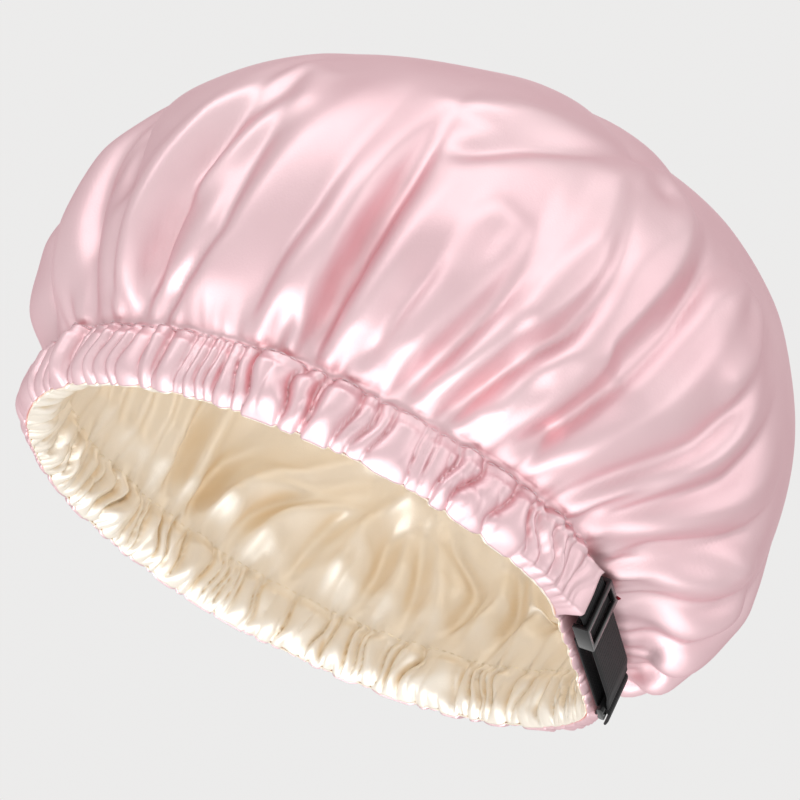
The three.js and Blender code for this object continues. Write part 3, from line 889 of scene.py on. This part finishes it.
def noise(tree, vector, scale, detail):
    texture = tree.nodes.new("ShaderNodeTexNoise")
    set_inputs(texture, {"Scale": scale, "Detail": detail})
    tree.links.new(vector, texture.inputs["Vector"])
    return texture


def ramp(tree, factor, stops):
    node = tree.nodes.new("ShaderNodeValToRGB")
    elements = node.color_ramp.elements
    for element, (place, colour) in zip(elements, stops):
        element.position = place
        element.color = (*colour, 1)
    tree.links.new(factor, node.inputs["Fac"])
    return node


def bump(tree, height, strength, distance, below=None):
    node = tree.nodes.new("ShaderNodeBump")
    set_inputs(node, {"Strength": strength, "Distance": distance})
    tree.links.new(height, node.inputs["Height"])
    if below:
        tree.links.new(below.outputs["Normal"], node.inputs["Normal"])
    return node


def spread_roughness(tree, factor, shader, low, high):
    shine = tree.nodes.new("ShaderNodeMapRange")
    set_inputs(shine, {"To Min": low, "To Max": high})
    tree.links.new(factor, shine.inputs["Value"])
    tree.links.new(shine.outputs["Result"], shader.inputs["Roughness"])


# Painted shade: ambient occlusion mixes the base colour toward the crease colour where the cloth closes in,
# standing in for the shade and pink inter-reflection in its creases
def painted_crease_shade(tree, tint, crease_shade):
    openness = tree.nodes.new("ShaderNodeAmbientOcclusion")
    openness.samples = 8
    set_inputs(openness, {"Distance": CREASE_SHADE_REACH})
    shade = ramp(tree, openness.outputs["AO"], [(0.15, crease_shade), (0.75, (1, 1, 1))])
    product = tree.nodes.new("ShaderNodeMix")
    product.data_type = "RGBA"
    product.blend_type = "MULTIPLY"
    set_inputs(product, {"Factor": 1})
    tree.links.new(tint.outputs["Color"], product.inputs["A"])
    tree.links.new(shade.outputs["Color"], product.inputs["B"])
    return product.outputs["Result"]


def satin_relief(tree, place, grain):
    stretch = tree.nodes.new("ShaderNodeMapping")
    set_inputs(stretch, {"Scale": FLOATS_PER_CUT})
    tree.links.new(place.outputs["UV"], stretch.inputs["Vector"])
    floats = noise(tree, stretch.outputs["Vector"], scale=1, detail=2)
    weave = bump(tree, floats.outputs["Fac"], strength=0.12, distance=0.1 * MM)
    return bump(tree, grain.outputs["Fac"], strength=0.4, distance=0.1 * MM, below=weave)


def satin(name, dark, light, crease_shade, edge_tint, roughness, metallic):
    material, tree, shader = node_material(name)
    place = tree.nodes.new("ShaderNodeTexCoord")
    cloud = noise(tree, place.outputs["Object"], scale=22, detail=3)
    tint = ramp(tree, cloud.outputs["Fac"], [(0.3, dark), (0.7, light)])
    # Base colour with painted shade in the creases
    tree.links.new(painted_crease_shade(tree, tint, crease_shade), shader.inputs["Base Color"])
    grain = noise(tree, place.outputs["Object"], scale=1500, detail=3)
    low = roughness - ROUGHNESS_SPREAD
    high = roughness + ROUGHNESS_SPREAD
    spread_roughness(tree, grain.outputs["Fac"], shader, low, high)
    relief = satin_relief(tree, place, grain)
    tree.links.new(relief.outputs["Normal"], shader.inputs["Normal"])
    set_inputs(shader, {"Metallic": metallic, "Specular IOR Level": 0.3, "Specular Tint": (*edge_tint, 1)})
    return material


def webbing_material(name, dark, light, roughness, rib_scale):
    material, tree, shader = node_material(name)
    place = tree.nodes.new("ShaderNodeTexCoord")
    ribs = tree.nodes.new("ShaderNodeTexWave")
    ribs.bands_direction = "Z"
    set_inputs(ribs, {"Scale": rib_scale, "Distortion": 1.2, "Detail": 2})
    tree.links.new(place.outputs["Object"], ribs.inputs["Vector"])
    fuzz = noise(tree, place.outputs["Object"], scale=1800, detail=3)
    tint = ramp(tree, fuzz.outputs["Fac"], [(0.35, dark), (0.7, light)])
    tree.links.new(tint.outputs["Color"], shader.inputs["Base Color"])
    ribbing = bump(tree, ribs.outputs["Fac"], strength=0.5, distance=0.2 * MM)
    fine = bump(tree, fuzz.outputs["Fac"], strength=0.35, distance=0.1 * MM, below=ribbing)
    tree.links.new(fine.outputs["Normal"], shader.inputs["Normal"])
    set_inputs(shader, {"Roughness": roughness, "Specular IOR Level": 0.16})
    return material


def gloss_plastic(name, dark, light):
    material, tree, shader = node_material(name)
    place = tree.nodes.new("ShaderNodeTexCoord")
    mottle = noise(tree, place.outputs["Object"], scale=300, detail=3)
    tint = ramp(tree, mottle.outputs["Fac"], [(0.3, dark), (0.7, light)])
    tree.links.new(tint.outputs["Color"], shader.inputs["Base Color"])
    scuff = noise(tree, place.outputs["Object"], scale=1400, detail=4)
    spread_roughness(tree, scuff.outputs["Fac"], shader, low=0.1, high=0.22)
    set_inputs(shader, {"Specular IOR Level": 0.3})
    return material


def thread_material(name, dark, light):
    material, tree, shader = node_material(name)
    place = tree.nodes.new("ShaderNodeTexCoord")
    twist = tree.nodes.new("ShaderNodeTexWave")
    twist.bands_direction = "DIAGONAL"
    set_inputs(twist, {"Scale": 900})
    tree.links.new(place.outputs["Object"], twist.inputs["Vector"])
    tint = ramp(tree, twist.outputs["Fac"], [(0.2, dark), (0.8, light)])
    tree.links.new(tint.outputs["Color"], shader.inputs["Base Color"])
    ply = bump(tree, twist.outputs["Fac"], strength=0.5, distance=0.1 * MM)
    tree.links.new(ply.outputs["Normal"], shader.inputs["Normal"])
    set_inputs(shader, {"Roughness": 0.5})
    return material


PINK_SATIN = satin(
    "pink_satin",
    dark=(0.82, 0.575, 0.61),
    light=(0.88, 0.655, 0.685),
    # Painted shade colour in the creases
    crease_shade=(1.0, 0.66, 0.66),
    edge_tint=(0.74, 0.44, 0.49),
    roughness=0.45,
    metallic=0.58,
)
CHAMPAGNE_SATIN = satin(
    "champagne_satin",
    dark=(0.96, 0.88, 0.77),
    light=(0.99, 0.93, 0.84),
    # Painted shade colour in the creases
    crease_shade=(0.88, 0.74, 0.52),
    edge_tint=(0.92, 0.8, 0.62),
    roughness=0.35,
    metallic=0.36,
)
BLACK_ELASTIC = webbing_material(
    "black_elastic", (0.006, 0.006, 0.0065), (0.016, 0.016, 0.017), roughness=0.6, rib_scale=380)
WHITE_ELASTIC = webbing_material(
    "white_elastic", (0.70, 0.69, 0.66), (0.82, 0.81, 0.78), roughness=0.7, rib_scale=380)
RED_TAPE = webbing_material(
    "red_tape", (0.24, 0.008, 0.016), (0.36, 0.016, 0.03), roughness=0.55, rib_scale=900)
BLACK_PLASTIC = gloss_plastic("black_plastic", (0.008, 0.008, 0.008), (0.014, 0.014, 0.015))
PINK_THREAD = thread_material("pink_thread", (0.86, 0.64, 0.68), (0.93, 0.74, 0.77))
CHAMPAGNE_THREAD = thread_material("champagne_thread", (0.90, 0.80, 0.63), (0.97, 0.89, 0.75))
BLACK_THREAD = thread_material("black_thread", (0.008, 0.008, 0.008), (0.03, 0.03, 0.032))


def dress(piece, body, material, node):
    piece.data.materials.clear()
    piece.data.materials.append(material)
    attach(piece, body)
    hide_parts(node)
    return piece


# Cover, lining and the stitches between them

def crown_cloth(lift, pleats, side, pleat_height, spare_share, low, high):
    angle, latitude = crown_grid()
    base = crown_point(angle, latitude)
    normal = crown_normal(angle, latitude)
    gathers = band_pleats(angle, latitude, pleats)
    slim = back_share(turns(COLUMNS))
    band_lift = BAND_LIFT - BAND_LIFT_LOSS * slim
    kept = band_lift + (1 - band_lift) * smooth(latitude, BAND, BAND_LIFT_END)
    tall = np.clip(lift + side * pleat_height * gathers, low, high) * kept
    cloth = base + normal * tall[..., None]
    band_offset = BAND_ROOM - BAND_ROOM_LOSS * slim + (BAND_DEPTH - BAND_DEPTH_LOSS * slim) * gathers[-1]
    cloth[-1] = rim_point(turns(COLUMNS), side * band_offset, CASING_HEIGHT)
    spare = 1 + spare_share * np.interp(latitude / DEG, SPARE_LATITUDES, SPARE_WIDTH)
    cloth = settle(cloth, base, normal, spare, low, high)
    cloth = soften(cloth)
    return cloth, band_offset, np.sum((cloth - base) * normal, axis=2)


def make_cover(generator):
    pleats = crossed_pleats(generator)
    angle, latitude = crown_grid()
    lift = line_lift(angle, latitude) + fold_lift(angle, latitude, FINE_FOLDS + mirrored(FINE_FOLDS))
    lift += arch_lift(angle, latitude, ARCHED_FOLDS + mirrored(ARCHED_FOLDS) + BROAD_SWELLS)
    cloth, band_offset, lift = crown_cloth(
        lift, pleats, OUTSIDE, pleat_height=2.2 * MM, spare_share=1, low=-13 * MM, high=7 * MM)
    hem = hem_height(pleats)
    casing = casing_rows(band_offset, OUTSIDE, room=0.9 * MM, depth=4 * MM, pleats=pleats, hem=hem)
    cover = cloth_mesh("satin_cover", [*cloth, *casing, *hem_rows(casing[-1], height=0.8 * MM)])
    dress(cover, "cap", PINK_SATIN, "outer_cover")
    return cover, cloth, lift, hem


def make_lining(cover_lift, cover_hem, generator):
    pleats = crossed_pleats(generator)
    angle, latitude = crown_grid()
    ceiling = local_least(cover_lift, LINING_GAP_REACH) - LINING_GAP
    hang = LINING_HANG + LINING_SLACK * hump(latitude, BAND, SLACK_MIDDLE, SLACK_END)
    lift = fold_lift(angle, latitude, LINING_FOLDS + mirrored(LINING_FOLDS)) - hang
    lift += arch_lift(angle, latitude, DOME_WRINKLES)
    cloth, band_offset, _ = crown_cloth(
        lift, pleats, INSIDE, pleat_height=2 * MM, spare_share=0, low=-25 * MM, high=ceiling)
    hem = cover_hem + LINING_HEM_RISE
    casing = casing_rows(band_offset, INSIDE, room=0.6 * MM, depth=5 * MM, pleats=pleats, hem=hem)
    lining = cloth_mesh("satin_lining", [*cloth, *casing, *hem_rows(casing[-1], height=0.5 * MM)])
    dress(lining, "cap", CHAMPAGNE_SATIN, "inner_lining")
    return lining, cloth


def make_stitches(name, cloth, side, material, node):
    outward = side * (rim_point(turns(COLUMNS), 1.0, 0.0) - rim_point(turns(COLUMNS), 0.0, 0.0))
    tubes = stitch_tubes(np.concatenate([cloth[-1], cloth[-1][:1]]), outward)
    dress(tube_mesh(name, tubes), "cap", material, node)


# Strap, ring and slider

def make_strap():
    ramp_end = NEAR_EXIT - STRAP_RAMP_LENGTH
    run_end = RING_PLACE + RING_RAMP_LENGTH
    strap = webbing(
        "strap_webbing",
        strap_run(NEAR_EXIT + STRAP_SEAT_LENGTH, NEAR_EXIT, STRAP_SEAT, STRAP_SEAT),
        strap_run(NEAR_EXIT, ramp_end, STRAP_SEAT, RUN_SEAT)[1:],
        strap_run(ramp_end, run_end, RUN_SEAT, RUN_SEAT)[1:],
        strap_run(run_end, RING_PLACE, RUN_SEAT, RING_SEAT + RING_TURN)[1:],
        strap_turn(RING_PLACE, RING_SEAT, RING_TURN, OUTSIDE),
        strap_run(RING_PLACE, SLIDER_PLACE - SLIDER_LENGTH / 2, RETURN_SEAT, RETURN_SEAT),
    )
    dress(strap, "cap", BLACK_ELASTIC, "nape_strap")


def make_tab():
    tab = webbing(
        "tab_webbing",
        strap_run(FAR_EXIT - STRAP_SEAT_LENGTH, FAR_EXIT, STRAP_SEAT, STRAP_SEAT),
        strap_run(FAR_EXIT, TAB_PLACE, STRAP_SEAT, RING_SEAT - RING_TURN)[1:],
        strap_turn(TAB_PLACE, RING_SEAT, RING_TURN, INSIDE),
        strap_run(TAB_PLACE, TAB_PLACE - TAB_TAIL, RING_SEAT + RING_TURN, RING_SEAT + RING_TURN),
    )
    dress(tab, "cap", BLACK_ELASTIC, "ring_tab")


def make_loop():
    bar_edge = SLIDER_PLACE + CENTRE_BAR_WIDTH / 2
    loop = webbing(
        "loop_webbing",
        strap_run(SLIDER_PLACE - LOOP_INNER_LENGTH, bar_edge, LOOP_INNER_SEAT, LOOP_INNER_SEAT),
        strap_turn(bar_edge, CENTRE_BAR_SEAT, (LOOP_OUTER_SEAT - LOOP_INNER_SEAT) / 2, INSIDE),
        strap_run(bar_edge, SLIDER_PLACE - LOOP_OUTER_LENGTH, LOOP_OUTER_SEAT, LOOP_OUTER_SEAT),
    )
    dress(loop, "slider", BLACK_ELASTIC, "strap_end_loop")


def make_fittings():
    slider = rounded_copy("moulded_slider", "slider", SLIDER_ROUNDING)
    dress(slider, "slider", BLACK_PLASTIC, "slider")
    ring = rounded_copy("moulded_ring", "strap_ring", RING_ROUNDING)
    dress(ring, "cap", BLACK_PLASTIC, "strap_ring")


def make_tacks():
    near_place = NEAR_EXIT + STRAP_SEAT_LENGTH / 2
    far_place = FAR_EXIT - STRAP_SEAT_LENGTH / 2
    loop_place = SLIDER_PLACE - CENTRE_BAR_WIDTH / 2 - LOOP_TACK_GAP - BARTACK_LENGTH / 2
    for name, node, body, place, seat in (
        ("near_tack_stitches", "near_bartack", "cap", near_place, BARTACK_SEAT),
        ("far_tack_stitches", "far_bartack", "cap", far_place, BARTACK_SEAT),
        ("loop_tack_stitches", "loop_bartack", "slider", loop_place, CENTRE_BAR_SEAT),
    ):
        dress(zigzag(name, place, seat), body, BLACK_THREAD, node)


def colour_node(node, material):
    mesh = frame["nodes"][node].data
    mesh.materials.clear()
    mesh.materials.append(material)


# Camera, fitted to the photograph
CAMERA_AZIMUTH = 92 * DEG
CAMERA_ELEVATION = -23 * DEG
CAMERA_ROLL = 27.2 * DEG
CAMERA_DISTANCE = 1.05
CAMERA_TARGET = Vector((0, 0, 0.07))
CAMERA_SHIFT_RIGHT = -5.44 * MM
CAMERA_SHIFT_UP = -4.16 * MM
SENSOR_WIDTH_MM = 36
LENS_MM = 147.6
VIEW_END = 20


def camera_axes():
    back = Vector((
        math.sin(CAMERA_AZIMUTH) * math.cos(CAMERA_ELEVATION),
        -math.cos(CAMERA_AZIMUTH) * math.cos(CAMERA_ELEVATION),
        math.sin(CAMERA_ELEVATION),
    ))
    right = (-back).cross(Vector((0, 0, 1))).normalized()
    up = right.cross(-back)
    rolled_right = right * math.cos(CAMERA_ROLL) + up * math.sin(CAMERA_ROLL)
    rolled_up = -right * math.sin(CAMERA_ROLL) + up * math.cos(CAMERA_ROLL)
    return rolled_right, rolled_up, back


RIGHT, UP, BACK = camera_axes()


def placed(axes, location):
    matrix = Matrix(axes).transposed().to_4x4()
    matrix.translation = location
    return matrix


def make_camera():
    aim = CAMERA_TARGET + RIGHT * CAMERA_SHIFT_RIGHT + UP * CAMERA_SHIFT_UP
    data = bpy.data.cameras.new("camera")
    data.sensor_width = SENSOR_WIDTH_MM
    data.lens = LENS_MM
    data.clip_end = VIEW_END
    camera = new_object("camera", data)
    camera.matrix_world = placed((RIGHT, UP, BACK), aim + BACK * CAMERA_DISTANCE)
    bpy.context.scene.camera = camera


# Lights: metres to the right, up and back from the cap's middle as the camera sees it, width, height, watts
LIGHTS = {
    "overhead": (0.05, 1.2, 0.3, 1.4, 0.7, 5.6),
    "right_side": (1.15, 0.4, 0.35, 0.7, 1.1, 3.1),
    "low_front": (-0.3, -0.85, 0.95, 2.2, 1.7, 18),
    "low_left": (-0.7, -0.9, 0.65, 1.0, 1.0, 5),
    "left_strip": (-0.6, 1.0, 0.5, 0.2, 0.6, 0.8),
}
LEAST_SIDE = 0.3


def area_light(name, right, up, back, width, height, power):
    data = bpy.data.lights.new(name, "AREA")
    data.shape = "RECTANGLE"
    data.size = width
    data.size_y = height
    data.energy = power
    light = new_object(name, data)
    light.visible_camera = False
    away = RIGHT * right + UP * up + BACK * back
    location = CAMERA_TARGET + away
    away.normalize()
    side = UP.cross(away)
    if side.length < LEAST_SIDE:
        side = RIGHT.copy()
    side = (side - away * side.dot(away)).normalized()
    light.matrix_world = placed((side, away.cross(side), away), location)


# Pale surroundings, which show in the view and in reflections but light the cap only a little
PALE = (0.84, 0.835, 0.83, 1)
AMBIENT = 0.24
FLOOR_COLOUR = (0.80, 0.795, 0.79, 1)
FLOOR_GLOW = 0.42
FLOOR_REACH = 8


def larger(tree, first, second):
    node = tree.nodes.new("ShaderNodeMath")
    node.operation = "MAXIMUM"
    tree.links.new(first, node.inputs[0])
    tree.links.new(second, node.inputs[1])
    return node.outputs["Value"]


def make_world():
    world = bpy.data.worlds.new("studio")
    bpy.context.scene.world = world
    world.use_nodes = True
    tree = world.node_tree
    background = tree.nodes["Background"]
    set_inputs(background, {"Color": PALE})
    rays = tree.nodes.new("ShaderNodeLightPath").outputs
    mirrored_rays = larger(tree, rays["Is Glossy Ray"], rays["Is Transmission Ray"])
    level = tree.nodes.new("ShaderNodeMapRange")
    set_inputs(level, {"To Min": AMBIENT, "To Max": 1})
    tree.links.new(larger(tree, rays["Is Camera Ray"], mirrored_rays), level.inputs["Value"])
    tree.links.new(level.outputs["Result"], background.inputs["Strength"])


def floor_material():
    material, tree, shader = node_material("pale_floor")
    set_inputs(shader, {"Base Color": FLOOR_COLOUR, "Roughness": 0.9})
    set_inputs(shader, {"Emission Color": PALE, "Emission Strength": FLOOR_GLOW})
    geometry = tree.nodes.new("ShaderNodeNewGeometry")
    see_through = tree.nodes.new("ShaderNodeBsdfTransparent")
    sides = tree.nodes.new("ShaderNodeMixShader")
    tree.links.new(geometry.outputs["Backfacing"], sides.inputs["Fac"])
    tree.links.new(shader.outputs["BSDF"], sides.inputs[1])
    tree.links.new(see_through.outputs["BSDF"], sides.inputs[2])
    tree.links.new(sides.outputs["Shader"], tree.nodes["Material Output"].inputs["Surface"])
    return material


def make_floor():
    mesh = bpy.data.meshes.new("floor")
    corners = [(x * FLOOR_REACH, y * FLOOR_REACH, 0) for x, y in ((-1, -1), (1, -1), (1, 1), (-1, 1))]
    mesh.from_pydata(corners, [], [(0, 1, 2, 3)])
    mesh.materials.append(floor_material())
    floor = new_object("floor", mesh)
    floor.visible_shadow = False
    floor.visible_diffuse = False
    floor.visible_glossy = False
    floor.visible_transmission = False


# Scene

GENERATOR = np.random.default_rng(RANDOM_SEED)
COVER, COVER_CLOTH, COVER_LIFT, HEM = make_cover(GENERATOR)
LINING, LINING_CLOTH = make_lining(COVER_LIFT, HEM, GENERATOR)
make_stitches(
    "needle_stitches", COVER_CLOTH, OUTSIDE, PINK_THREAD, "casing_needle_thread")
make_stitches(
    "bobbin_stitches", LINING_CLOTH, INSIDE, CHAMPAGNE_THREAD, "casing_bobbin_thread")
make_strap()
make_tab()
make_loop()
make_fittings()
make_tacks()
colour_node("casing_elastic", WHITE_ELASTIC)
colour_node("rim_seam_thread", CHAMPAGNE_THREAD)
colour_node("red_tab", RED_TAPE)

make_camera()
for light_name, light_sizes in LIGHTS.items():
    area_light(light_name, *light_sizes)
make_world()
make_floor()
bpy.context.scene.view_settings.view_transform = "Standard"
